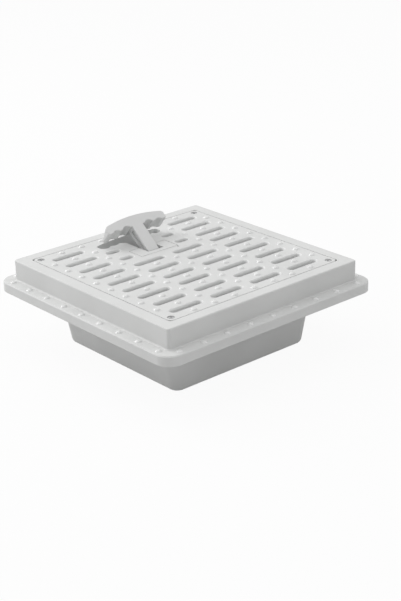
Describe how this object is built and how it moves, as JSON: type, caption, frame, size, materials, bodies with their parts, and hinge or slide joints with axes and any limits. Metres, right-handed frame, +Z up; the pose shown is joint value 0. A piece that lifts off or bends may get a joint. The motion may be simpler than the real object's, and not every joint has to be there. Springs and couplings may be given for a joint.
{
  "type": "gully trap",
  "caption": "Square plastic floor gully with a slotted non-slip grate, a fold-down T-handle, a bedding flange and a tapered sump with a bell water seal over a bottom outlet.",
  "frame": {"origin": "middle of the flat floor of the sump, on its underside", "axes": "+Z up out of the drain through the grate, +X along the grate's slots, +Y the way the handle folds down"},
  "size_m": [0.332, 0.332, 0.1435],
  "materials": {
    "body_plastic": "pale grey, slightly satin",
    "grate_plastic": "pale grey, slightly satin",
    "handle_plastic": "mid grey, satin",
    "bell_plastic": "grey, matt",
    "steel": "plain stainless",
    "screw_steel": "dull stainless"
  },
  "bodies": {
    "gully": {"gully_body": "body_plastic", "grate": "grate_plastic", "hinge_pin": "steel", "hinge_cover": "grate_plastic", "siphon_bell": "bell_plastic", "grate_screw_front_left": "screw_steel", "grate_screw_back_left": "screw_steel", "grate_screw_front_right": "screw_steel", "grate_screw_back_right": "screw_steel"},
    "handle": {"handle": "handle_plastic"}
  },
  "joints": [
    {"name": "handle_hinge", "type": "hinge", "parent": "gully", "child": "handle", "pos_m": [0, 0.0633, 0.101], "axis": [1, 0, 0], "range_deg": [-40, 50]}
  ]
}
